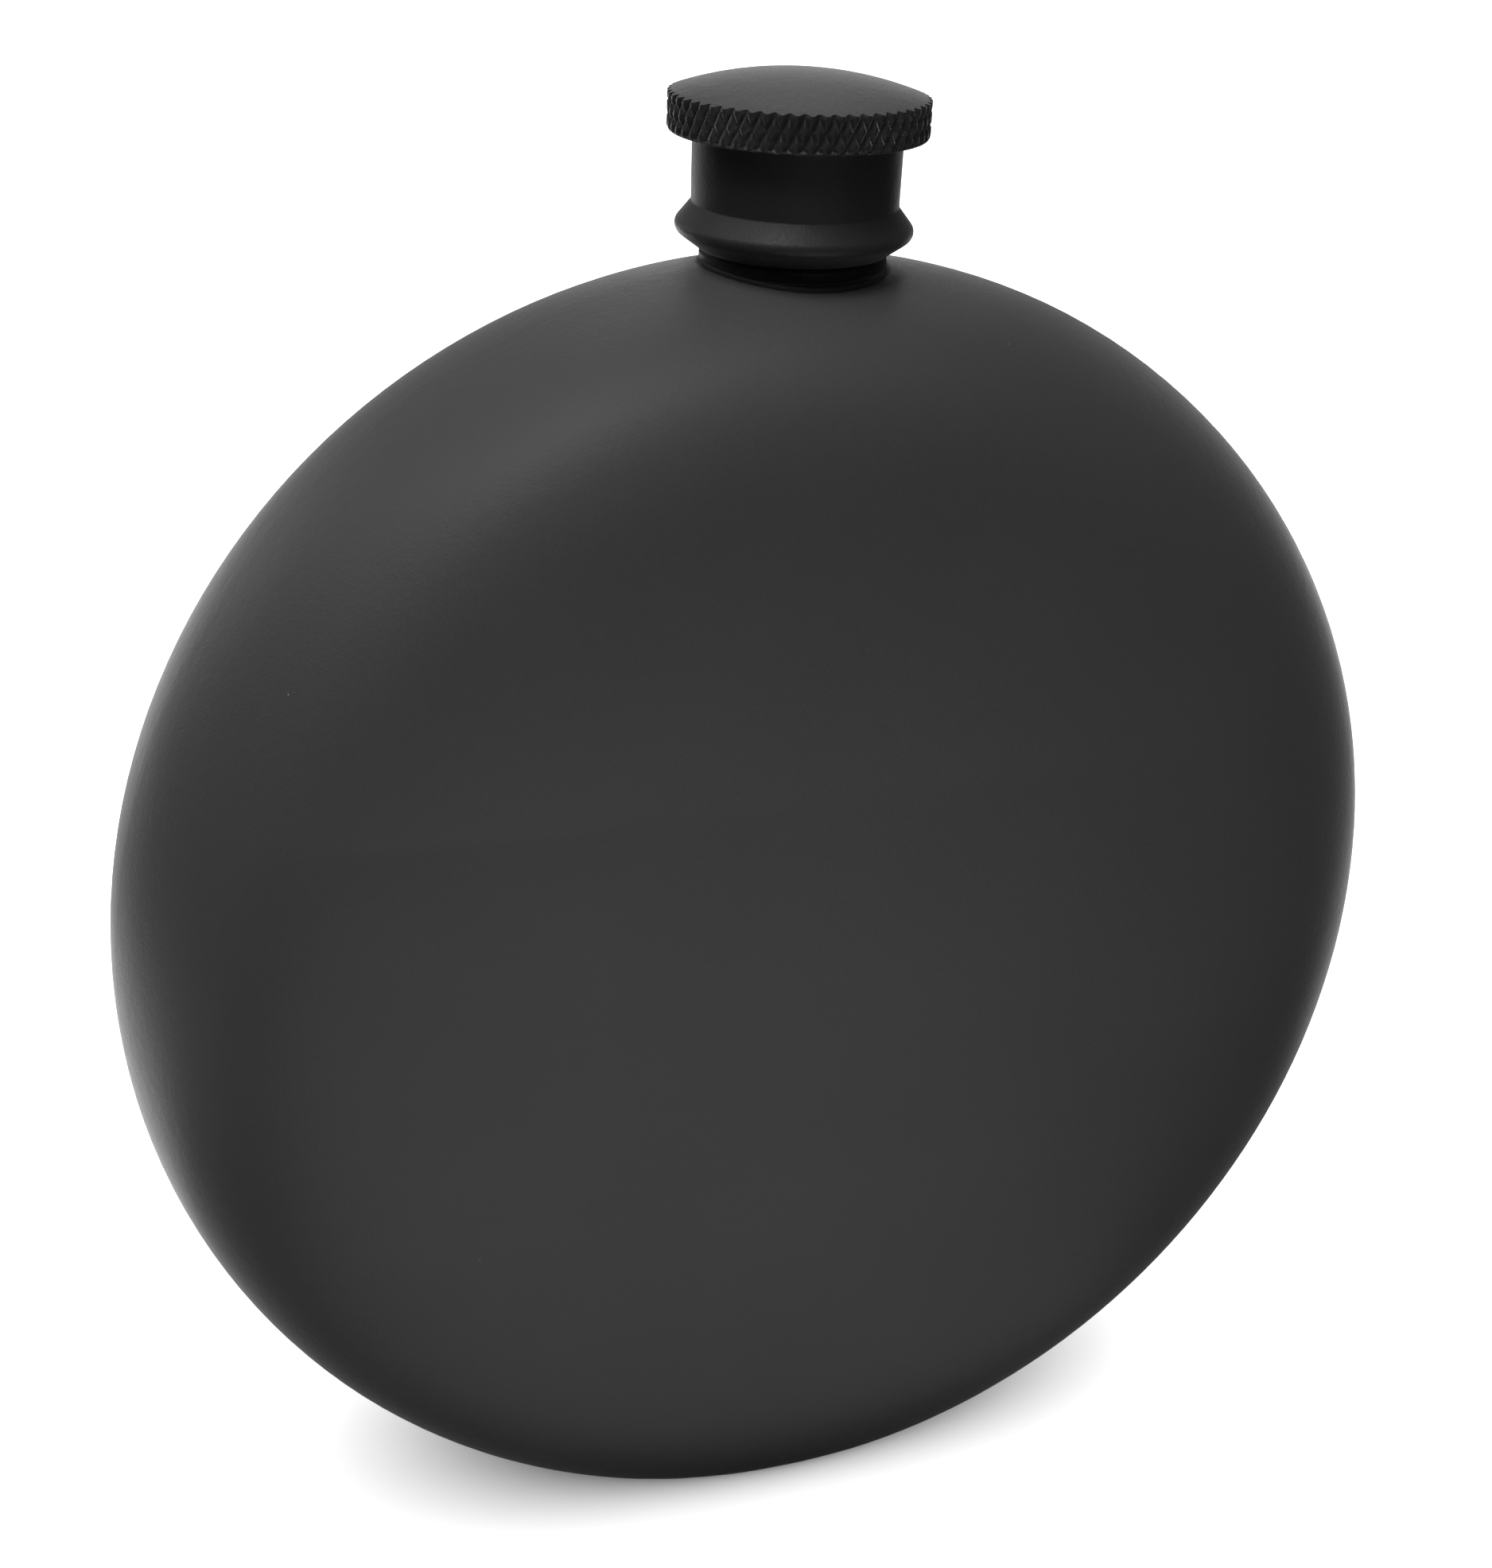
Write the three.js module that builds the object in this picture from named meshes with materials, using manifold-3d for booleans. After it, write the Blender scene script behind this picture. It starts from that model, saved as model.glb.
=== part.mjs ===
// A round pebble-shaped hip flask: two pressed stainless half shells joined by a girth weld, a turned
// spout welded into the rim, and a spool-shaped screw cap with a moulded thread insert and a gasket.
// Millimetres, +Z up, front face towards -Y. The origin is the middle of the flat that it stands on.
import * as THREE from "three";
import { mergeVertices } from "three/addons/utils/BufferGeometryUtils.js";
import Module from "manifold-3d";

const wasm = await Module();
wasm.setup();

// ---- Driving dimensions -------------------------------------------------------------------------

const JOINT_GAP = 0.3; // left between pieces that touch or are welded together

const DISC_RADIUS = 51; // outline of the body, seen from the front
const DISC_THICKNESS = 34; // front face to back face
const RIM_EXPONENT = 9.2; // how late the face starts to roll over towards the rim
const CROWN_EXPONENT = 1.9; // how round the rim is, 2 being an ellipse
const BASE_CUT = 4; // how far the standing flat is cut into the disc
const WALL = 0.8; // sheet thickness of the half shells
const SEAM_WIDTH = 1.0; // width of the dressed girth weld

const COLLAR_RADIUS = 6.8; // plain lower part of the spout, below the cap
const COLLAR_BOTTOM = 95.2;
const COLLAR_TOP = 98.1;
const NECK_WELD_WIDTH = 0.6;
const NECK_WELD_PROUD = 0.35; // height of the weld bead above the shells

const BORE_RADIUS = 4.0;
const SPOUT_RADIUS = 4.9; // root of the outside thread
const LIP_TOP = 107.0;
const LIP_CHAMFER = 0.3;

const THREAD_PITCH = 2.0;
const THREAD_TURNS = 3;
const THREAD_START = 99.6;
const THREAD_DEPTH = 0.6;
const THREAD_ROOT_WIDTH = 1.0;
const THREAD_CREST_WIDTH = 0.4;
const THREAD_RADIAL_PLAY = 0.25; // crest of one thread to root of the other
const RIDGE_BURIED = 0.2; // how deep a thread ridge is sunk in its own wall

const CAP_BOTTOM = 98.4;
const CAP_POCKET_RADIUS = 6.6;
const CAP_POCKET_TOP = 108.3;
const CAP_FOOT_RADIUS = 8.6; // widest line of the flared foot
const CAP_FOOT_HEIGHT = 100.15;
const FOOT_ROUND = 0.9; // radius of the flared foot's rounded edge
const CAP_WAIST_RADIUS = 7.5;
const CAP_WAIST_BOTTOM = 101.6;
const CAP_HEAD_RADIUS = 9.4; // over the knurl's crests
const CAP_HEAD_BOTTOM = 106.8;
const CAP_HEAD_TOP = 109.5; // where the knurled edge meets the dome
const CAP_DOME_TOP = 111.1;
const HEAD_CHAMFER = 0.15;
const WAIST_FILLET = 0.4; // under the head

const INSERT_WALL_RADIUS = SPOUT_RADIUS + THREAD_DEPTH + THREAD_RADIAL_PLAY;
const INSERT_BOTTOM = CAP_BOTTOM + JOINT_GAP;
const INSERT_TOP = CAP_POCKET_TOP - JOINT_GAP;

const GASKET_RADIUS = INSERT_WALL_RADIUS - 0.2;
const GASKET_BOTTOM = LIP_TOP + 0.2;

const DISC_CENTRE = DISC_RADIUS - BASE_CUT; // height of the disc's centre
const BODY_SEGMENTS = 64;
const CROWN_STEPS = 10; // from the rim to the middle of one face
const TURNED_SEGMENTS = 48;
const THREAD_STEPS_PER_TURN = 24;
const ARC_STEPS = 4;

// ---- Helpers ------------------------------------------------------------------------------------

// A closed three.js geometry as a manifold solid.
function solidFrom(geometry) {
  const bare = geometry.clone();
  bare.deleteAttribute("normal");
  bare.deleteAttribute("uv");
  const merged = mergeVertices(bare);
  return new wasm.Manifold(
    new wasm.Mesh({
      numProp: 3,
      vertProperties: merged.attributes.position.array,
      triVerts: new Uint32Array(merged.index.array),
    }),
  );
}

// A manifold solid as a three.js geometry with flat-shaded normals.
function geometryFrom(solid) {
  const mesh = solid.getMesh();
  const geometry = new THREE.BufferGeometry();
  geometry.setAttribute("position", new THREE.BufferAttribute(mesh.vertProperties, 3));
  geometry.setIndex(new THREE.BufferAttribute(mesh.triVerts, 1));
  geometry.computeVertexNormals();
  return geometry;
}

// A box given by its lowest and highest corners.
function block(low, high) {
  const size = high.map((value, axis) => value - low[axis]);
  const middle = high.map((value, axis) => (value + low[axis]) / 2);
  return solidFrom(new THREE.BoxGeometry(...size).translate(...middle));
}

// A profile of [radius, height] points, listed upwards along its outside, turned about the Z axis.
function turned(profile, segments = TURNED_SEGMENTS) {
  const points = profile.map(([radius, height]) => new THREE.Vector2(radius, height));
  return solidFrom(new THREE.LatheGeometry(points, segments).rotateX(Math.PI / 2));
}

// The same for a ring or tube, whose profile closes on itself.
function turnedRing(profile) {
  return turned([...profile, profile[0]]);
}

// Points of an arc in a profile, from one angle to another in degrees, both ends included.
function arc(centreRadius, centreHeight, radius, fromDegrees, toDegrees) {
  return Array.from({ length: ARC_STEPS + 1 }, (_, step) => {
    const degrees = fromDegrees + ((toDegrees - fromDegrees) * step) / ARC_STEPS;
    const angle = THREE.MathUtils.degToRad(degrees);
    return [centreRadius + radius * Math.cos(angle), centreHeight + radius * Math.sin(angle)];
  });
}

// The pebble: a superellipse turned about the Y axis, grown by an offset, with its flat underside.
function pebble(offset) {
  const radius = DISC_RADIUS + offset;
  const halfThickness = DISC_THICKNESS / 2 + offset;
  const points = [];
  for (let step = -CROWN_STEPS; step <= CROWN_STEPS; step++) {
    const angle = (step / CROWN_STEPS) * (Math.PI / 2);
    const across = Math.abs(step) === CROWN_STEPS ? 0 : Math.cos(angle) ** (2 / RIM_EXPONENT);
    const along = Math.sign(step) * Math.abs(Math.sin(angle)) ** (2 / CROWN_EXPONENT);
    points.push(new THREE.Vector2(radius * across, halfThickness * along));
  }
  const disc = new THREE.LatheGeometry(points, BODY_SEGMENTS).translate(0, 0, DISC_CENTRE);
  const reach = 2 * DISC_RADIUS;
  return solidFrom(disc).intersect(block([-reach, -reach, -offset], [reach, reach, 2 * reach]));
}

// A helical ridge: a straight trapezoid bar wrapped round the Z axis, fading out at both ends.
// Its root is at rootRadius and its crest stands towards the axis when depth is negative.
function threadRidge(rootRadius, depth, startHeight) {
  const buried = Math.sign(depth) * RIDGE_BURIED;
  const section = new THREE.Shape([
    new THREE.Vector2(-THREAD_ROOT_WIDTH / 2, -buried),
    new THREE.Vector2(THREAD_ROOT_WIDTH / 2, -buried),
    new THREE.Vector2(THREAD_CREST_WIDTH / 2, depth),
    new THREE.Vector2(-THREAD_CREST_WIDTH / 2, depth),
  ]);
  const steps = THREAD_TURNS * THREAD_STEPS_PER_TURN;
  const bar = new THREE.ExtrudeGeometry(section, { depth: THREAD_TURNS, steps, bevelEnabled: false });
  const place = bar.attributes.position;
  for (let i = 0; i < place.count; i++) {
    const turns = place.getZ(i);
    const fade = Math.min(1, 4 * turns + 0.1, 4 * (THREAD_TURNS - turns) + 0.1);
    const stand = place.getY(i);
    const radius = rootRadius + (stand * depth > 0 ? stand * fade : stand);
    const angle = 2 * Math.PI * turns;
    const height = startHeight + place.getX(i) + THREAD_PITCH * turns;
    place.setXYZ(i, radius * Math.cos(angle), radius * Math.sin(angle), height);
  }
  return solidFrom(bar);
}

// ---- Body: two half shells and the girth weld between them --------------------------------------

const seamHalf = SEAM_WIDTH / 2;
const far = 3 * DISC_RADIUS;
const cavity = pebble(-WALL);
const weldOuterRadius = COLLAR_RADIUS + JOINT_GAP + NECK_WELD_WIDTH;
const neckHole = turned([
  [0, DISC_CENTRE],
  [weldOuterRadius + JOINT_GAP, DISC_CENTRE],
  [weldOuterRadius + JOINT_GAP, far],
  [0, far],
]);
const vessel = pebble(0).subtract(cavity).subtract(neckHole);

function frontShell() {
  return vessel.intersect(block([-far, -far, -far], [far, -seamHalf - JOINT_GAP, far]));
}

function rearShell() {
  return vessel.intersect(block([-far, seamHalf + JOINT_GAP, -far], [far, far, far]));
}

function seamWeld() {
  return vessel.intersect(block([-far, -seamHalf, -far], [far, seamHalf, far]));
}

// ---- Spout: a turned tube with a plain collar and an outside thread, and its weld ---------------

function neck() {
  const tube = turnedRing([
    [BORE_RADIUS, COLLAR_BOTTOM],
    [COLLAR_RADIUS, COLLAR_BOTTOM],
    [COLLAR_RADIUS, COLLAR_TOP],
    [SPOUT_RADIUS, COLLAR_TOP],
    [SPOUT_RADIUS, LIP_TOP - LIP_CHAMFER],
    [SPOUT_RADIUS - LIP_CHAMFER, LIP_TOP],
    [BORE_RADIUS, LIP_TOP],
  ]);
  return tube.add(threadRidge(SPOUT_RADIUS, THREAD_DEPTH, THREAD_START));
}

function neckWeld() {
  const innerRadius = COLLAR_RADIUS + JOINT_GAP;
  const ring = turnedRing([
    [innerRadius, COLLAR_BOTTOM - WALL],
    [weldOuterRadius, COLLAR_BOTTOM - WALL],
    [weldOuterRadius, CAP_BOTTOM],
    [innerRadius, CAP_BOTTOM],
  ]);
  return ring.intersect(pebble(NECK_WELD_PROUD)).subtract(cavity);
}

// ---- Cap: spool-shaped shell, moulded thread insert and gasket ----------------------------------

function capShell() {
  const footCentre = CAP_FOOT_RADIUS - FOOT_ROUND;
  const domeRise = CAP_DOME_TOP - CAP_HEAD_TOP;
  const domeEdge = CAP_HEAD_RADIUS - HEAD_CHAMFER;
  const domeRadius = (domeEdge ** 2 + domeRise ** 2) / (2 * domeRise);
  const domeHalfAngle = THREE.MathUtils.radToDeg(Math.asin(domeEdge / domeRadius));
  return turned([
    [0, CAP_POCKET_TOP],
    [CAP_POCKET_RADIUS, CAP_POCKET_TOP],
    [CAP_POCKET_RADIUS, CAP_BOTTOM],
    [COLLAR_RADIUS, CAP_BOTTOM],
    ...arc(footCentre, CAP_FOOT_HEIGHT, FOOT_ROUND, -70, 45),
    [CAP_WAIST_RADIUS, CAP_WAIST_BOTTOM],
    ...arc(CAP_WAIST_RADIUS + WAIST_FILLET, CAP_HEAD_BOTTOM - WAIST_FILLET, WAIST_FILLET, 180, 90),
    [CAP_HEAD_RADIUS - HEAD_CHAMFER, CAP_HEAD_BOTTOM],
    [CAP_HEAD_RADIUS, CAP_HEAD_BOTTOM + HEAD_CHAMFER],
    [CAP_HEAD_RADIUS, CAP_HEAD_TOP - HEAD_CHAMFER],
    ...arc(0, CAP_DOME_TOP - domeRadius, domeRadius, 90 - domeHalfAngle, 90),
  ]);
}

function capThreadInsert() {
  const outerRadius = CAP_POCKET_RADIUS - JOINT_GAP;
  const sleeve = turnedRing([
    [INSERT_WALL_RADIUS, INSERT_BOTTOM],
    [outerRadius, INSERT_BOTTOM],
    [outerRadius, INSERT_TOP],
    [INSERT_WALL_RADIUS, INSERT_TOP],
  ]);
  return sleeve.add(threadRidge(INSERT_WALL_RADIUS, -THREAD_DEPTH, THREAD_START + THREAD_PITCH / 2));
}

function capGasket() {
  return turned([
    [0, GASKET_BOTTOM],
    [GASKET_RADIUS, GASKET_BOTTOM],
    [GASKET_RADIUS, INSERT_TOP],
    [0, INSERT_TOP],
  ]);
}

// ---- Assembly -----------------------------------------------------------------------------------

const powderCoat = new THREE.MeshStandardMaterial({ color: 0x242425, roughness: 0.62, metalness: 0.15 });
const bareSteel = new THREE.MeshStandardMaterial({ color: 0xb4b3ae, roughness: 0.3, metalness: 1 });
const mouldedPlastic = new THREE.MeshStandardMaterial({ color: 0x1b1b1c, roughness: 0.5, metalness: 0 });
const silicone = new THREE.MeshStandardMaterial({ color: 0xd9d7d0, roughness: 0.55, metalness: 0 });

function piece(name, solid, material) {
  const mesh = new THREE.Mesh(geometryFrom(solid), material);
  mesh.name = name;
  return mesh;
}

const body = new THREE.Group().add(
  piece("front_shell", frontShell(), powderCoat),
  piece("rear_shell", rearShell(), powderCoat),
  piece("seam_weld", seamWeld(), powderCoat),
  piece("neck", neck(), bareSteel),
  piece("neck_weld", neckWeld(), powderCoat),
);

const cap = new THREE.Group().add(
  piece("cap_shell", capShell(), powderCoat),
  piece("cap_thread_insert", capThreadInsert(), mouldedPlastic),
  piece("cap_gasket", capGasket(), silicone),
);

const hipFlask = new THREE.Group().add(body, cap);

export default hipFlask;
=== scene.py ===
import math
from functools import cache

import bmesh
import bpy
import numpy as np
from mathutils import Matrix, Vector


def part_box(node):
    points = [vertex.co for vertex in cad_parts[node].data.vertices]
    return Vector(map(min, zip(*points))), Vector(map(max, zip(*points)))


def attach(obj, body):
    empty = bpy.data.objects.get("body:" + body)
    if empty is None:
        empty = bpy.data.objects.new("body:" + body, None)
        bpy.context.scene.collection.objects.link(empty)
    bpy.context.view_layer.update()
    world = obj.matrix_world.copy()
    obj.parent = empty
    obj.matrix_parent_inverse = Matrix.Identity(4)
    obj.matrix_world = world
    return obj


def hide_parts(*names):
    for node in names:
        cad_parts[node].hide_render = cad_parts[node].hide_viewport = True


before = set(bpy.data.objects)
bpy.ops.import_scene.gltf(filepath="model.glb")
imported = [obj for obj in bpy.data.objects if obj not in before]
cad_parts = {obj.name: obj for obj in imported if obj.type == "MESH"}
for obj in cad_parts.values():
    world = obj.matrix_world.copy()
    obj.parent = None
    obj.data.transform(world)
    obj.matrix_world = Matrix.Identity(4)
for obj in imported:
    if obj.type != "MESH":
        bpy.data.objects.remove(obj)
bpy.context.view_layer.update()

# ---- Sizes, in metres -----------------------------------------------------------------------------

MM = 0.001

SHELL_LOW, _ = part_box("front_shell")
SEAM_LOW, SEAM_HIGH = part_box("seam_weld")
NECK_LOW, NECK_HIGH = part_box("neck")
CAP_LOW, CAP_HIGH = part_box("cap_shell")
INSERT_LOW, INSERT_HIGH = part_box("cap_thread_insert")
GASKET_LOW, GASKET_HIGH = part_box("cap_gasket")

DISC_RADIUS = SEAM_HIGH.x
HALF_THICKNESS = -SHELL_LOW.y
BASE_CUT = 4 * MM  # how deep the standing flat is cut into the disc
DISC_CENTRE = DISC_RADIUS - BASE_CUT
RIM_EXPONENT = 9.2  # how late the face starts to roll over towards the rim
CROWN_EXPONENT = 1.9  # how round the rim is, 2 being an ellipse
WALL = 0.8 * MM
BASE_EDGE_SOFTNESS = 0.35 * MM

COLLAR_RADIUS = NECK_HIGH.x
COLLAR_TOP = CAP_LOW.z + 0.04 * MM  # ends just under the cap's foot
BORE_RADIUS = 4.0 * MM
SPOUT_RADIUS = 4.9 * MM
LIP_TOP = NECK_HIGH.z
COLLAR_CHAMFER = 0.25 * MM
RING_MARKS = (97.05 * MM, 97.45 * MM)  # heights of two fine turned grooves in the collar
RING_MARK_HALF = 0.09 * MM
RING_MARK_DEPTH = 0.07 * MM
LIP_ROUND = 0.3 * MM
HOLE_RADIUS = COLLAR_RADIUS - 0.2 * MM  # the shells' edge is hidden in the collar's wall

WELD_REACH = 0.38 * MM
WELD_RISE = 0.24 * MM
WELD_ROOT = 0.5 * MM  # how deep the bead's root lies in the shells

THREAD_PITCH = 2.0 * MM
THREAD_TURNS = 3
THREAD_START = 99.6 * MM
THREAD_DEPTH = 0.6 * MM
THREAD_ROOT_HALF = 0.5 * MM
THREAD_CREST_HALF = 0.2 * MM
THREAD_STEPS = 90  # rows of mesh up a threaded wall
THREAD_SEGMENTS = 112  # columns of mesh round it
INSERT_WALL_RADIUS = 5.75 * MM

HEAD_RADIUS = CAP_HIGH.x
HEAD_BOTTOM = 106.8 * MM
HEAD_TOP = 109.45 * MM
DOME_TOP = CAP_HIGH.z
DOME_EXPONENT = 2.09  # how late the dome falls towards its edge
WAIST_RADIUS = 7.5 * MM
WAIST_TOP_RADIUS = 7.56 * MM
WAIST_BOTTOM = 101.62 * MM
FLARE_CENTRE = (7.95 * MM, 100.12 * MM)
FLARE_ROUND = 0.68 * MM
FLARE_START, FLARE_END = -53.4, 38.5  # degrees
FLARE_EDGE = (8.12 * MM, 99.40 * MM)  # a crisp edge with an undercut below it
POCKET_RADIUS = 6.6 * MM
POCKET_TOP = 108.3 * MM

KNURL_COUNT = 56  # diamonds round the head
KNURL_DEPTH = 0.36 * MM
KNURL_LEAN = math.radians(28)  # of the grooves from the axis
KNURL_ROWS = 26
SAMPLES_PER_DIAMOND = 12

TOUCHING = 0.001 * MM  # points closer than this are one point
STAGE_REACH = 3.0

# ---- Mesh helpers ---------------------------------------------------------------------------------


def add_object(name, data):
    """An object in the scene that shows a mesh, a lamp or a camera."""
    made = bpy.data.objects.new(name, data)
    bpy.context.scene.collection.objects.link(made)
    return made


def add_mesh(name, vertices, faces):
    mesh = bpy.data.meshes.new(name)
    mesh.from_pydata([tuple(v) for v in vertices], [], faces)
    return mesh


def finish_mesh(name, vertices, faces, sharp_degrees):
    """A mesh object with outward normals, smooth except across edges sharper than the angle."""
    mesh = add_mesh(name, vertices, faces)
    made = bmesh.new()
    made.from_mesh(mesh)
    bmesh.ops.remove_doubles(made, verts=made.verts, dist=TOUCHING)
    bmesh.ops.recalc_face_normals(made, faces=made.faces)
    made.to_mesh(mesh)
    made.free()
    piece = add_object(name, mesh)
    smooth(piece, sharp_degrees)
    return piece


def ring_faces(rings, columns, closes):
    """Quads between rings of points, and from the last ring back to the first if it closes."""
    faces = []
    for ring in range(rings if closes else rings - 1):
        above = (ring + 1) % rings
        for column in range(columns):
            beside = (column + 1) % columns
            faces.append((ring * columns + column, ring * columns + beside,
                          above * columns + beside, above * columns + column))
    return faces


def smooth(piece, sharp_degrees):
    piece.data.shade_smooth()
    piece.data.set_sharp_from_angle(angle=math.radians(sharp_degrees))


def apply_modifiers(piece):
    graph = bpy.context.evaluated_depsgraph_get()
    mesh = bpy.data.meshes.new_from_object(piece.evaluated_get(graph))
    piece.modifiers.clear()
    piece.data = mesh


def revolved(name, profile, segments, shape=None, sharp_degrees=32):
    """A profile of (radius, height) turned about the Z axis. It closes on itself, or on the axis
    where its first and last radius are 0. shape(angle, radius, height) may move the points."""
    turn = np.arange(segments) * 2 * math.pi / segments
    closes_on_axis = profile[0][0] == 0 and profile[-1][0] == 0
    rows = np.array(profile, float)
    angle, radius = np.meshgrid(turn, rows[:, 0])
    height = np.repeat(rows[:, 1:2], segments, axis=1)
    if shape:
        radius, height = shape(angle, radius, height)
    grid = np.stack([radius * np.cos(angle), radius * np.sin(angle), height], axis=2)
    faces = ring_faces(len(rows), segments, not closes_on_axis)
    return finish_mesh(name, grid.reshape(-1, 3), faces, sharp_degrees)


def arc(centre, radius, start, end, steps=8):
    """Points of an arc in a profile, angles in degrees, both ends included."""
    angles = np.radians(np.linspace(start, end, steps + 1))
    return [(centre[0] + radius * math.cos(a), centre[1] + radius * math.sin(a)) for a in angles]


def line(start, end, steps):
    """Points between two profile points, both ends left out."""
    shares = [step / steps for step in range(1, steps)]
    return [tuple(a + (b - a) * share for a, b in zip(start, end)) for share in shares]


# ---- Body: half shells and girth weld ---------------------------------------------------------------


def disc_radius_at(depth):
    """The pebble's radius at a distance in front of or behind its middle."""
    return DISC_RADIUS * (1 - (np.abs(depth) / HALF_THICKNESS) ** CROWN_EXPONENT) ** (1 / RIM_EXPONENT)


def rim_outline(from_depth):
    """Radii and depths from a depth near the seam to the middle of one face, evenly spaced over
    the rim and a little wider apart towards the middle of the face."""
    fine_steps, rim_steps, face_steps = 4000, 36, 12
    spreading = 1.1
    angle = np.linspace(0, math.pi / 2, fine_steps)
    radius = DISC_RADIUS * np.clip(np.cos(angle), 0, 1) ** (2 / RIM_EXPONENT)
    radius[-1] = 0
    depth = HALF_THICKNESS * np.sin(angle) ** (2 / CROWN_EXPONENT)
    travel = np.concatenate([[0], np.cumsum(np.hypot(np.diff(radius), np.diff(depth)))])
    first = np.interp(from_depth, depth, travel)
    rim_end = 30 * MM
    rim = np.linspace(first, rim_end, rim_steps)
    face = rim_end + (travel[-1] - rim_end) * np.linspace(0, 1, face_steps)[1:] ** spreading
    steps = np.concatenate([rim, face])
    return np.interp(steps, travel, radius), np.interp(steps, travel, depth)


def outline_angles():
    """Angles round the disc from the top, closer together at the spout and at the standing flat."""
    spout, flat = math.radians(14), math.radians(148)
    spout_steps, side_steps, flat_steps = 19, 65, 44
    one_side = np.concatenate([
        np.linspace(0, spout, spout_steps)[:-1],
        np.linspace(spout, flat, side_steps)[:-1],
        np.linspace(flat, math.pi, flat_steps),
    ])
    return np.concatenate([one_side, 2 * math.pi - one_side[-2:0:-1]])


def flattened(height):
    """Height with everything under the floor brought up to it, through a soft edge."""
    return (height + np.sqrt(height**2 + BASE_EDGE_SOFTNESS**2)) / 2


def skin(name, radius, depth, closes_on_face):
    """A sheet of the pebble's surface between rows of (radius, depth), thickened inwards."""
    angle = outline_angles()
    columns = len(angle)
    across = radius[:, None] * np.sin(angle)
    height = flattened(DISC_CENTRE + radius[:, None] * np.cos(angle))
    along = np.repeat(depth[:, None], columns, axis=1)
    grid = np.stack([across, along, height], axis=2)
    mesh = add_mesh(name, grid.reshape(-1, 3), ring_faces(len(radius), columns, False))
    made = bmesh.new()
    made.from_mesh(mesh)
    if closes_on_face:
        pole = [v for v in made.verts if v.index >= (len(radius) - 1) * columns]
        middle = sum((v.co for v in pole), Vector()) / len(pole)
        bmesh.ops.pointmerge(made, verts=pole, merge_co=middle)
    made.normal_update()
    rightmost = max(made.faces, key=lambda f: f.calc_center_median().x)
    if rightmost.normal.x < 0:
        bmesh.ops.reverse_faces(made, faces=made.faces)
    made.to_mesh(mesh)
    made.free()
    piece = add_object(name, mesh)
    thick = piece.modifiers.new("wall", "SOLIDIFY")
    thick.thickness = WALL
    thick.offset = -1
    thick.use_even_offset = True
    thick.material_offset = 1
    thick.material_offset_rim = 1
    return piece


def cut_neck_hole(piece, cutter):
    hole = piece.modifiers.new("hole", "BOOLEAN")
    hole.operation = "DIFFERENCE"
    hole.solver = "EXACT"
    hole.object = cutter
    apply_modifiers(piece)
    smooth(piece, sharp_degrees=40)


def make_body():
    seam_half = (SEAM_HIGH.y - SEAM_LOW.y) / 2
    radius, depth = rim_outline(seam_half)
    front = skin("front_shell_skin", radius, -depth, True)
    rear = skin("rear_shell_skin", radius, depth, True)
    seam_depth = np.linspace(-seam_half, seam_half, 5)
    seam = skin("seam_weld_bead", disc_radius_at(seam_depth), seam_depth, False)
    rod = [(0, DISC_CENTRE), (HOLE_RADIUS, DISC_CENTRE), (HOLE_RADIUS, DOME_TOP), (0, DOME_TOP)]
    cutter = revolved("neck_hole_cutter", rod, segments=96)
    for piece, node in ((front, "front_shell"), (rear, "rear_shell"), (seam, "seam_weld")):
        piece.data.materials.append(body_coat())
        piece.data.materials.append(inner_steel())
        cut_neck_hole(piece, cutter)
        place(piece, "flask", node)
    bpy.data.objects.remove(cutter)


def make_neck_weld():
    """A small concave fillet of weld that follows the saddle where the collar meets the shells."""
    columns = 160
    turn = np.arange(columns) * 2 * math.pi / columns
    ripple = 1 + 0.08 * np.sin(34 * turn + 1.3 * np.sin(3 * turn)) * np.cos(5 * turn + 0.6)

    def surface(radius):
        across, along = radius * np.cos(turn), radius * np.sin(turn)
        return DISC_CENTRE + np.sqrt(disc_radius_at(along)**2 - across**2)

    # The section's points are (share of the reach, height above the shells).
    buried = -0.4  # this far back into the collar's wall, as a share
    section = [(buried, -WELD_ROOT), (1.0, -WELD_ROOT / 2), (1.0, -0.02 * MM)]
    section += [(share, WELD_RISE * (1 - math.sqrt(1 - (1 - share) ** 2)))
                for share in (0.9, 0.75, 0.6, 0.45, 0.3, 0.18, 0.08, 0.02)]
    section += [(buried, WELD_RISE)]
    rings = []
    for share, above in section:
        radius = COLLAR_RADIUS + WELD_REACH * share * (ripple if share > 0 else 1) * np.ones(columns)
        height = surface(radius) + above * (ripple if above > 0 else 1)
        rings.append(np.stack([radius * np.cos(turn), radius * np.sin(turn), height], axis=1))
    faces = ring_faces(len(rings), columns, True)
    piece = finish_mesh("neck_weld_bead", np.concatenate(rings), faces, sharp_degrees=60)
    # The bead takes the collar's much darker copy of the body coat: painted shade under the cap.
    piece.data.materials.append(collar_painted_shade_coat())
    place(piece, "flask", "neck_weld")


# ---- Spout ------------------------------------------------------------------------------------------


def ridge(angle, height, start):
    """0 to 1: how far a helical thread ridge stands out at each point, fading at both ends."""
    climb = height - start
    turns = climb / THREAD_PITCH - angle / (2 * math.pi)
    off = np.abs(turns - np.round(turns)) * THREAD_PITCH
    along = np.round(turns) + angle / (2 * math.pi)
    stand = np.clip((THREAD_ROOT_HALF - off) / (THREAD_ROOT_HALF - THREAD_CREST_HALF), 0, 1)
    fades_per_turn = 4
    fade = np.clip(np.minimum(fades_per_turn * along, fades_per_turn * (THREAD_TURNS - along)), 0, 1)
    return stand * fade


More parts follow.
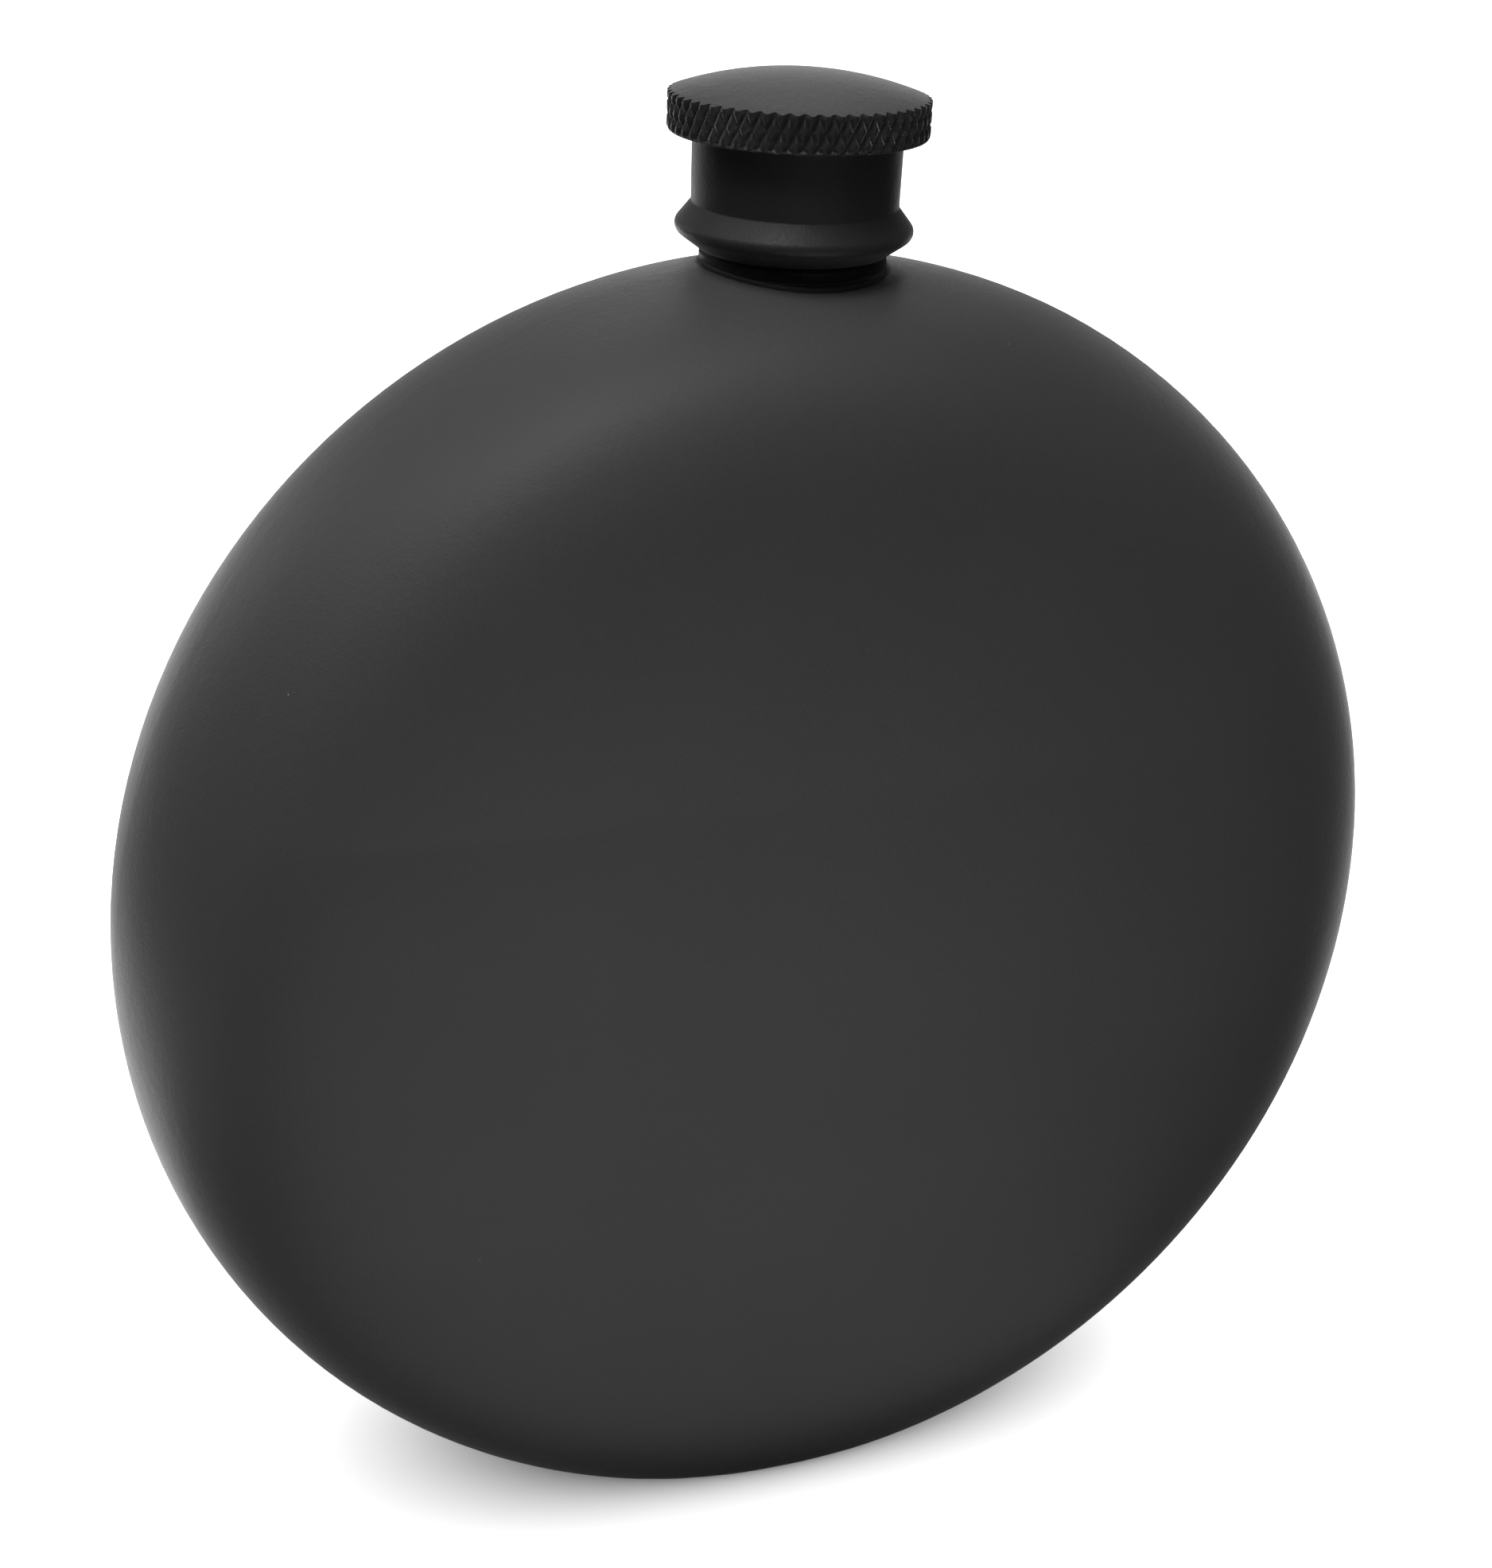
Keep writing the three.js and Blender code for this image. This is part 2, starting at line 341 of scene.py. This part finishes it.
def make_spout():
    side = [(BORE_RADIUS, NECK_LOW.z), (COLLAR_RADIUS, NECK_LOW.z)]
    for mark in RING_MARKS:
        side += [(COLLAR_RADIUS, mark - RING_MARK_HALF), (COLLAR_RADIUS - RING_MARK_DEPTH, mark),
                 (COLLAR_RADIUS, mark + RING_MARK_HALF)]
    side += [(COLLAR_RADIUS, COLLAR_TOP - COLLAR_CHAMFER), (COLLAR_RADIUS - COLLAR_CHAMFER, COLLAR_TOP),
             (SPOUT_RADIUS, COLLAR_TOP), (BORE_RADIUS, COLLAR_TOP)]
    collar = revolved("spout_collar", side, segments=128)
    # A much darker copy of the body coat: painted shade under the cap's flare.
    collar.data.materials.append(collar_painted_shade_coat())
    place(collar, "flask", "neck")

    lip_start = LIP_TOP - LIP_ROUND
    foot = (SPOUT_RADIUS, COLLAR_TOP)
    profile = [(BORE_RADIUS, COLLAR_TOP), foot]
    profile += line(foot, (SPOUT_RADIUS, lip_start), THREAD_STEPS)
    profile += arc((SPOUT_RADIUS - LIP_ROUND, lip_start), LIP_ROUND, 0, 90, 5)
    profile += arc((BORE_RADIUS + LIP_ROUND, lip_start), LIP_ROUND, 90, 180, 5)

    def threaded(angle, radius, height):
        outside = np.abs(radius - SPOUT_RADIUS) < TOUCHING
        stand = ridge(angle, height, THREAD_START)
        return radius + np.where(outside, THREAD_DEPTH * stand, 0), height

    spout = revolved("threaded_spout", profile, THREAD_SEGMENTS, threaded)
    spout.data.materials.append(turned_steel())
    place(spout, "flask")


# ---- Cap --------------------------------------------------------------------------------------------


def knurl(angle, height):
    """0 at the bottom of a groove to 1 on a crest. Two sets of V grooves cross at the diamonds'
    corners, and the set that leans to the left is cut less deep."""
    diamond = 2 * math.pi * HEAD_RADIUS / KNURL_COUNT
    lean = (height - HEAD_BOTTOM) * math.tan(KNURL_LEAN) / diamond
    around = KNURL_COUNT * angle / (2 * math.pi)

    def distance(phase):
        return np.abs(2 * (phase - np.floor(phase)) - 1)

    leaning_right = 1 - distance(around - lean + 0.5)
    leaning_left = 1 - distance(around + lean)
    right_steepness, left_steepness, left_floor = 1.4, 1.5, 0.2
    crest = np.minimum(leaning_right * right_steepness, leaning_left * left_steepness + left_floor)
    return np.clip(crest, 0, 1)


def make_cap_shell():
    """The turned spool, from the top of its pocket down to the foot, then up the outside to the
    middle of the dome."""
    foot_inner, foot_bottom = COLLAR_RADIUS + 0.04 * MM, CAP_LOW.z + 0.1 * MM
    foot_chamfer = 0.06 * MM
    top_fillet = 0.35 * MM
    bottom_fillet = 0.25 * MM
    rim_height = 0.10 * MM  # of the plain rim under the knurl
    rim_radius = HEAD_RADIUS - 0.10 * MM
    knurl_bottom = HEAD_BOTTOM + rim_height
    knurl_fade = 0.12 * MM
    dome_rise = DOME_TOP - HEAD_TOP
    dome_shares = (0.99, 0.97, 0.93, 0.86, 0.77, 0.66, 0.54, 0.42, 0.3, 0.19, 0.08)

    profile = [(0, POCKET_TOP), (POCKET_RADIUS, POCKET_TOP), (POCKET_RADIUS, foot_bottom + foot_chamfer),
               (POCKET_RADIUS + foot_chamfer, foot_bottom), (foot_inner, foot_bottom)]
    profile += line(profile[-1], FLARE_EDGE, 4) + [FLARE_EDGE]
    profile += arc(FLARE_CENTRE, FLARE_ROUND, FLARE_START, FLARE_END, 18)
    corner = arc((WAIST_RADIUS + bottom_fillet, WAIST_BOTTOM + bottom_fillet), bottom_fillet,
                 180 + FLARE_END, 180, 5)
    profile += line(profile[-1], corner[0], 4) + corner
    waist_top = HEAD_BOTTOM - top_fillet
    profile += line(profile[-1], (WAIST_TOP_RADIUS, waist_top), 10)
    profile += arc((WAIST_TOP_RADIUS + top_fillet, waist_top), top_fillet, 180, 90, 6)
    profile += [(rim_radius - 0.05 * MM, HEAD_BOTTOM), (rim_radius, HEAD_BOTTOM + 0.04 * MM),
                (rim_radius, knurl_bottom)]
    first_knurl = len(profile)
    profile += [(HEAD_RADIUS, knurl_bottom + (HEAD_TOP - HEAD_BOTTOM - rim_height) * row / KNURL_ROWS)
                for row in range(KNURL_ROWS + 1)]
    last_knurl = len(profile) - 1
    profile += [(HEAD_RADIUS * share, 0) for share in dome_shares] + [(0, DOME_TOP)]

    def dome(radius):
        return HEAD_TOP + dome_rise * (1 - (radius / HEAD_RADIUS) ** DOME_EXPONENT)

    def knurled(angle, radius, height):
        """Cuts the knurl, and fits the dome to the zigzag edge that the cut leaves."""
        radius, height = radius.copy(), height.copy()
        band = slice(first_knurl, last_knurl + 1)
        crest = knurl(angle[band], height[band])
        fade = np.clip((height[band] - HEAD_BOTTOM - rim_height) / knurl_fade, 0, 1)
        cut = KNURL_DEPTH * (1 - crest)
        radius[band] = HEAD_RADIUS - cut * fade - (1 - fade) * (HEAD_RADIUS - rim_radius)
        edge = radius[last_knurl]
        low = height[first_knurl]
        share = (height[band] - low) / (height[last_knurl] - low)
        height[band] = low + share * (dome(edge) - low)
        above = slice(last_knurl + 1, len(profile))
        radius[above] = np.minimum(radius[above], edge * radius[above] / HEAD_RADIUS)
        height[above] = dome(radius[above])
        return radius, height

    segments = KNURL_COUNT * SAMPLES_PER_DIAMOND
    cap = revolved("cap_turned_shell", profile, segments, knurled, sharp_degrees=30)
    cap.data.materials.append(cap_coat())
    place(cap, "cap", "cap_shell")


def make_insert():
    wall, outer = INSERT_WALL_RADIUS, INSERT_HIGH.x
    bottom, top = INSERT_LOW.z, INSERT_HIGH.z
    chamfer = 0.15 * MM
    profile = [(wall, top)] + line((wall, top), (wall, bottom + chamfer), THREAD_STEPS)
    profile += [(wall, bottom + chamfer), (wall + chamfer, bottom), (outer - chamfer, bottom),
                (outer, bottom + chamfer), (outer, top)]

    def threaded(angle, radius, height):
        inside = np.abs(radius - wall) < TOUCHING
        stand = ridge(angle, height, THREAD_START + THREAD_PITCH / 2)
        return radius - np.where(inside, THREAD_DEPTH * stand, 0), height

    insert = revolved("moulded_thread_insert", profile, THREAD_SEGMENTS, threaded)
    insert.data.materials.append(moulded_plastic())
    place(insert, "cap", "cap_thread_insert")


def make_gasket():
    radius = GASKET_HIGH.x
    low, high = GASKET_LOW.z, GASKET_HIGH.z
    edge = 0.2 * MM
    dent = 0.08 * MM  # ring pressed in by the spout's lip
    shoulder = low + 0.7 * dent
    lip_middle = (BORE_RADIUS + SPOUT_RADIUS) / 2
    profile = [(0, low), (BORE_RADIUS - 0.3 * MM, low), (BORE_RADIUS, shoulder), (lip_middle, low + dent),
               (SPOUT_RADIUS, shoulder), (SPOUT_RADIUS + 0.2 * MM, low)]
    profile += arc((radius - edge, low + edge), edge, -90, 0, 4)
    profile += arc((radius - edge, high - edge), edge, 0, 90, 4)
    profile += [(0, high)]
    gasket = revolved("silicone_gasket", profile, segments=96, sharp_degrees=60)
    gasket.data.materials.append(silicone())
    place(gasket, "gasket", "cap_gasket")


# ---- Materials --------------------------------------------------------------------------------------

SHEEN = 0.6  # the coat's pale bloom, seen where the surface turns away
SHEEN_ROUGHNESS = 0.3
SPECK_GREY = (0.22, 0.22, 0.22)
WORN_AND_GLINT_GREY = (0.13, 0.13, 0.128)

# A Mix node has a set of sockets for each kind of data, with the same names, so these go by number.
MIX_SHARE, MIX_UNDER, MIX_OVER = 0, 6, 7
MIX_RESULT = 2


def material(name):
    """A new material, its node tree, and the shader in it."""
    made = bpy.data.materials.new(name)
    made.use_nodes = True
    tree = made.node_tree
    shader = tree.nodes["Principled BSDF"]
    return made, tree, shader


def position(tree):
    """Place on the piece, in metres."""
    return tree.nodes.new("ShaderNodeTexCoord").outputs["Object"]


def noise(tree, size, detail, vector=None, roughness=0.5):
    """A noise texture with features about this size, in metres."""
    node = tree.nodes.new("ShaderNodeTexNoise")
    node.inputs["Scale"].default_value = 1 / size
    node.inputs["Detail"].default_value = detail
    node.inputs["Roughness"].default_value = roughness
    tree.links.new(vector or position(tree), node.inputs["Vector"])
    return node.outputs["Fac"]


def spread(tree, value, low, high, from_low=0.3, from_high=0.7):
    """A value mapped to another range, clamped."""
    node = tree.nodes.new("ShaderNodeMapRange")
    for name, number in (("From Min", from_low), ("From Max", from_high), ("To Min", low), ("To Max", high)):
        node.inputs[name].default_value = number
    tree.links.new(value, node.inputs["Value"])
    return node.outputs["Result"]


def calculated(tree, operation, *values):
    """A Math node's result. Each value is a plain number or another node's output."""
    node = tree.nodes.new("ShaderNodeMath")
    node.operation = operation
    for socket, value in zip(node.inputs, values):
        if isinstance(value, float):
            socket.default_value = value
        else:
            tree.links.new(value, socket)
    return node.outputs[0]


def mixed(tree, share, under, over):
    """A colour laid over another by a share. The one under it is a colour or a node's output."""
    node = tree.nodes.new("ShaderNodeMix")
    node.data_type = "RGBA"
    if isinstance(under, tuple):
        node.inputs[MIX_UNDER].default_value = (*under, 1)
    else:
        tree.links.new(under, node.inputs[MIX_UNDER])
    node.inputs[MIX_OVER].default_value = (*over, 1)
    tree.links.new(share, node.inputs[MIX_SHARE])
    return node.outputs[MIX_RESULT]


def bump(tree, shader, height, distance):
    node = tree.nodes.new("ShaderNodeBump")
    node.inputs["Distance"].default_value = distance
    tree.links.new(height, node.inputs["Height"])
    tree.links.new(node.outputs["Normal"], shader.inputs["Normal"])


def powder_coat(name, dark, light, rough_low, rough_high, gloss, edges=()):
    """Matte black powder coat: a fine sandy grain over a faint orange peel, very slightly uneven in
    tone, with a few specks of dust, and a broken paler line along the edges given as (height, width), partly
    wear and partly a painted highlight."""
    made, tree, shader = material(name)
    grain = noise(tree, 0.22 * MM, 3, roughness=0.6)
    peel = noise(tree, 1.1 * MM, 2)
    cloud = noise(tree, 14 * MM, 3)
    tone = calculated(tree, "MULTIPLY_ADD", cloud, 0.5, grain)
    colour = mixed(tree, spread(tree, tone, 0, 1, from_low=0.45, from_high=1.05), dark, light)
    colour = with_specks(tree, colour)
    for height, width in edges:
        colour = with_worn_and_glint_edge(tree, colour, height, width)
    tree.links.new(colour, shader.inputs["Base Color"])
    tree.links.new(spread(tree, grain, rough_low, rough_high), shader.inputs["Roughness"])
    bump(tree, shader, calculated(tree, "MULTIPLY_ADD", peel, 0.9, grain), 0.03 * MM)
    shader.inputs["Metallic"].default_value = 0.0
    shader.inputs["IOR"].default_value = 1.5
    shader.inputs["Specular IOR Level"].default_value = gloss
    shader.inputs["Sheen Weight"].default_value = SHEEN
    shader.inputs["Sheen Roughness"].default_value = SHEEN_ROUGHNESS
    return made


def with_specks(tree, colour):
    """Adds sparse pale specks of dust, about a fifth of a millimetre across at most."""
    spacing = 5 * MM
    core, rim = 0.012, 0.02  # of a speck, as shares of the spacing
    cells = tree.nodes.new("ShaderNodeTexVoronoi")
    cells.inputs["Scale"].default_value = 1 / spacing
    tree.links.new(position(tree), cells.inputs["Vector"])
    speck = spread(tree, cells.outputs["Distance"], 1, 0, core, rim)
    return mixed(tree, speck, colour, SPECK_GREY)


def with_worn_and_glint_edge(tree, colour, height, width):
    """Adds a thin broken line of paler grey along a turned edge at a height: partly worn, burred coat,
    partly a painted highlight on the edge.
    """
    split = tree.nodes.new("ShaderNodeSeparateXYZ")
    tree.links.new(position(tree), split.inputs["Vector"])
    distance = calculated(tree, "ABSOLUTE", calculated(tree, "SUBTRACT", split.outputs["Z"], height))
    near = spread(tree, distance, 1, 0, width / 2, width)
    broken = spread(tree, noise(tree, 0.5 * MM, 3, roughness=0.7), 0, 1, from_low=0.55, from_high=0.68)
    return mixed(tree, calculated(tree, "MULTIPLY", near, broken), colour, WORN_AND_GLINT_GREY)


@cache
def body_coat():
    dark, light = (0.050, 0.050, 0.0505), (0.060, 0.060, 0.0605)
    return powder_coat("body powder coat", dark, light, 0.42, 0.56, gloss=0.2)


# Painted shade: the body's powder coat made far darker, for the collar and weld in the shade under the cap.
@cache
def collar_painted_shade_coat():
    dark, light = (0.010, 0.010, 0.0102), (0.014, 0.014, 0.0142)
    return powder_coat("collar painted shade coat", dark, light, 0.45, 0.55, gloss=0.25)


@cache
def cap_coat():
    dark, light = (0.018, 0.018, 0.0182), (0.023, 0.023, 0.0232)
    # Paler broken lines under the knurl and at the flare's edge: partly wear, partly a painted highlight.
    under_knurl = (HEAD_BOTTOM + 0.03 * MM, 0.06 * MM)
    under_flare = (FLARE_EDGE[1], 0.035 * MM)
    return powder_coat("cap powder coat", dark, light, 0.40, 0.52, gloss=0.2,
                       edges=(under_knurl, under_flare))


def steel(name, colour, rough_low, rough_high, stretch):
    """Bare stainless steel, with fine marks drawn out along the axes where stretch is small."""
    made, tree, shader = material(name)
    mapping = tree.nodes.new("ShaderNodeMapping")
    mapping.inputs["Scale"].default_value = stretch
    tree.links.new(position(tree), mapping.inputs["Vector"])
    marks = noise(tree, 0.12 * MM, 3, mapping.outputs["Vector"])
    darker = tuple(0.9 * part for part in colour)
    tree.links.new(mixed(tree, marks, darker, colour), shader.inputs["Base Color"])
    tree.links.new(spread(tree, marks, rough_low, rough_high), shader.inputs["Roughness"])
    bump(tree, shader, marks, 0.006 * MM)
    shader.inputs["Metallic"].default_value = 1.0
    return made


@cache
def turned_steel():
    return steel("turned stainless steel", (0.60, 0.59, 0.57), 0.22, 0.38, stretch=(0.06, 0.06, 1))


@cache
def inner_steel():
    return steel("inner stainless steel", (0.55, 0.545, 0.53), 0.35, 0.5, stretch=(1, 1, 1))


@cache
def moulded_plastic():
    made, tree, shader = material("moulded black plastic")
    spark = noise(tree, 0.08 * MM, 2)
    flow = noise(tree, 2 * MM, 3)
    colour = mixed(tree, spread(tree, flow, 0, 1), (0.016, 0.016, 0.0165), (0.026, 0.026, 0.0265))
    tree.links.new(colour, shader.inputs["Base Color"])
    tree.links.new(spread(tree, spark, 0.38, 0.52), shader.inputs["Roughness"])
    bump(tree, shader, spark, 0.004 * MM)
    return made


@cache
def silicone():
    made, tree, shader = material("pale silicone")
    haze = noise(tree, 1.5 * MM, 3)
    colour = mixed(tree, spread(tree, haze, 0, 1), (0.54, 0.53, 0.50), (0.66, 0.65, 0.62))
    tree.links.new(colour, shader.inputs["Base Color"])
    tree.links.new(spread(tree, noise(tree, 0.1 * MM, 2), 0.4, 0.55), shader.inputs["Roughness"])
    bump(tree, shader, haze, 0.01 * MM)
    shader.inputs["Subsurface Weight"].default_value = 0.15
    shader.inputs["Subsurface Radius"].default_value = (1.0 * MM, 0.8 * MM, 0.6 * MM)
    return made


# ---- Placing ----------------------------------------------------------------------------------------


def place(piece, body, node=None):
    """Rides the piece on its body, and stands it in for its CAD node."""
    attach(piece, body)
    if node:
        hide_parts(node)


# ---- Stage: camera, floor and light -----------------------------------------------------------------

VIEW_AZIMUTH, VIEW_ELEVATION, VIEW_ROLL = -22.71, 23.25, 2.55  # degrees
VIEW_DISTANCE = 4.2547 * DISC_RADIUS
VIEW_ASIDE, VIEW_LIFT = -0.0324 * DISC_RADIUS, 0.1664 * DISC_RADIUS
LENS, SENSOR = 62.49, 36  # millimetres, as Blender has them

# Name, azimuth and elevation in degrees, width in metres, watts.
SOFTBOXES = (
    ("key", -47, 67, 0.5, 5.4),
    ("side", -74, 50, 0.6, 0.7),
    ("top", 0, 88, 0.6, 0.6),
    ("fill", 30, 55, 0.5, 0.5),
    ("back left", -112, 47, 0.5, 1.65),
    ("back right", 158, 47, 0.5, 1.7),
    ("low back right", 158, 9, 0.35, 0.8),
    ("low back left", -150, 12, 0.35, 0.6),
)

# Name, place in x and y and size in x and y, all in metres, watts.
FLOOR_BOUNCES = (
    ("bounce front left", -0.05, -0.09, 0.07, 0.05, 0.0165),
    ("bounce front", 0.0, -0.12, 0.12, 0.08, 0.075),
    ("bounce near", -0.01, -0.05, 0.10, 0.06, 0.010),
    ("bounce right", 0.13, 0.07, 0.08, 0.14, 0.05),
    ("bounce left", -0.13, 0.02, 0.06, 0.12, 0.022),
    ("bounce back left", -0.03, 0.07, 0.14, 0.08, 0.06),
    ("bounce back", 0.1, 0.4, 0.5, 0.4, 1.7),
)
BOUNCE_HEIGHT = -0.0005  # just under the floor
SKY_STRENGTH = 0.1
OVERHEAD_STRENGTH = 7.0
BACKDROP_STRENGTH = 1.2


def direction(azimuth, elevation):
    """Azimuth 0 is the front, and grows towards +X."""
    a, e = math.radians(azimuth), math.radians(elevation)
    return Vector((math.sin(a) * math.cos(e), -math.cos(a) * math.cos(e), math.sin(e)))


def make_camera():
    """A medium lens, close to the flask, from its left and above, with the frame turned a little."""
    azimuth, roll = math.radians(VIEW_AZIMUTH), math.radians(VIEW_ROLL)
    back = direction(VIEW_AZIMUTH, VIEW_ELEVATION)
    right = Vector((math.cos(azimuth), math.sin(azimuth), 0))
    up = back.cross(right)
    turned_right = right * math.cos(roll) + up * math.sin(roll)
    turned_up = up * math.cos(roll) - right * math.sin(roll)
    camera = bpy.data.cameras.new("camera")
    camera.sensor_fit = "VERTICAL"
    camera.sensor_height = SENSOR
    camera.sensor_width = SENSOR
    camera.lens = LENS
    camera.clip_start = 0.01
    holder = add_object("camera", camera)
    spot = Vector((0, 0, DISC_CENTRE)) + back * VIEW_DISTANCE + right * VIEW_ASIDE + up * VIEW_LIFT
    turn = Matrix((turned_right, turned_up, back)).transposed().to_4x4()
    holder.matrix_world = Matrix.Translation(spot) @ turn
    bpy.context.scene.camera = holder


def show_to_camera_only(piece):
    """The stage is a picture's white ground: it is seen, and the flask's light comes from lamps."""
    piece.visible_diffuse = False
    piece.visible_glossy = False
    piece.visible_transmission = False
    piece.visible_shadow = False


def make_floor():
    """A white floor that catches the flask's shadow."""
    corners = [(x * STAGE_REACH, y * STAGE_REACH, 0) for x, y in ((-1, -1), (1, -1), (1, 1), (-1, 1))]
    floor = add_object("floor", add_mesh("floor", corners, [(0, 1, 2, 3)]))
    made, _, shader = material("pale floor")
    shader.inputs["Base Color"].default_value = (0.9, 0.9, 0.9, 1)
    shader.inputs["Roughness"].default_value = 1.0
    shader.inputs["Specular IOR Level"].default_value = 0.0
    floor.data.materials.append(made)
    show_to_camera_only(floor)
    return floor


def make_backdrop():
    """A white wall all round the floor, far from the flask."""
    columns = 48
    turn = [2 * math.pi * step / columns for step in range(columns)]
    reach = 0.95 * STAGE_REACH
    points = [(reach * math.cos(a), reach * math.sin(a), z) for z in (0, STAGE_REACH) for a in turn]
    backdrop = add_object("backdrop", add_mesh("backdrop", points, ring_faces(2, columns, False)))
    made, _, shader = material("white backdrop")
    shader.inputs["Base Color"].default_value = (0, 0, 0, 1)
    shader.inputs["Specular IOR Level"].default_value = 0.0
    shader.inputs["Emission Color"].default_value = (1, 1, 1, 1)
    shader.inputs["Emission Strength"].default_value = BACKDROP_STRENGTH
    backdrop.data.materials.append(made)
    show_to_camera_only(backdrop)


def lamp(name, kind, power, spot, facing, lights):
    """A lamp that shines along -facing, on what the light linking collection says."""
    made = bpy.data.lights.new(name, kind)
    made.energy = power
    holder = add_object(name, made)
    holder.location = spot
    holder.rotation_euler = facing.to_track_quat("Z", "Y").to_euler()
    holder.light_linking.receiver_collection = lights
    return made


def softbox(lights, name, azimuth, elevation, size, power):
    """A square lamp a metre from the flask's middle, in a direction from it, that faces it."""
    away = direction(azimuth, elevation)
    made = lamp(name, "AREA", power, Vector((0, 0, DISC_CENTRE)) + away, away, lights)
    made.shape = "SQUARE"
    made.size = size


def bounce(lights, name, x, y, width, length, power):
    """A patch of light that comes up off the floor."""
    made = lamp(name, "AREA", power, Vector((x, y, BOUNCE_HEIGHT)), Vector((0, 0, -1)), lights)
    made.shape = "RECTANGLE"
    made.size = width
    made.size_y = length


def make_sky():
    """Faint even light from everything above the horizon."""
    world = bpy.data.worlds.new("world")
    world.use_nodes = True
    tree = world.node_tree
    background = tree.nodes["Background"]
    background.inputs["Color"].default_value = (1, 1, 1, 1)
    split = tree.nodes.new("ShaderNodeSeparateXYZ")
    tree.links.new(tree.nodes.new("ShaderNodeTexCoord").outputs["Generated"], split.inputs["Vector"])
    strength = spread(tree, split.outputs["Z"], 0, SKY_STRENGTH, from_low=-0.02, from_high=0.02)
    tree.links.new(strength, background.inputs["Strength"])
    bpy.context.scene.world = world


def make_light(floor):
    """Soft light from the upper left and from behind for the flask, with faint light off the floor
    in front and more behind. The floor has an even light of its own from above."""
    only_floor = bpy.data.collections.new("only the floor")
    only_floor.objects.link(floor)
    no_floor = bpy.data.collections.new("all but the floor")
    no_floor.objects.link(floor)
    no_floor.collection_objects[0].light_linking.link_state = "EXCLUDE"

    make_sky()
    for box in SOFTBOXES:
        softbox(no_floor, *box)
    for patch in FLOOR_BOUNCES:
        bounce(no_floor, *patch)
    overhead = lamp("overhead", "SUN", OVERHEAD_STRENGTH, Vector((0, 0, 1)), Vector((0, 0, 1)), only_floor)
    overhead.angle = math.radians(150)
    bpy.context.scene.view_settings.view_transform = "Standard"


# ---- The whole --------------------------------------------------------------------------------------

make_camera()
make_body()
make_neck_weld()
make_spout()
make_cap_shell()
make_insert()
make_gasket()
make_backdrop()
make_light(make_floor())
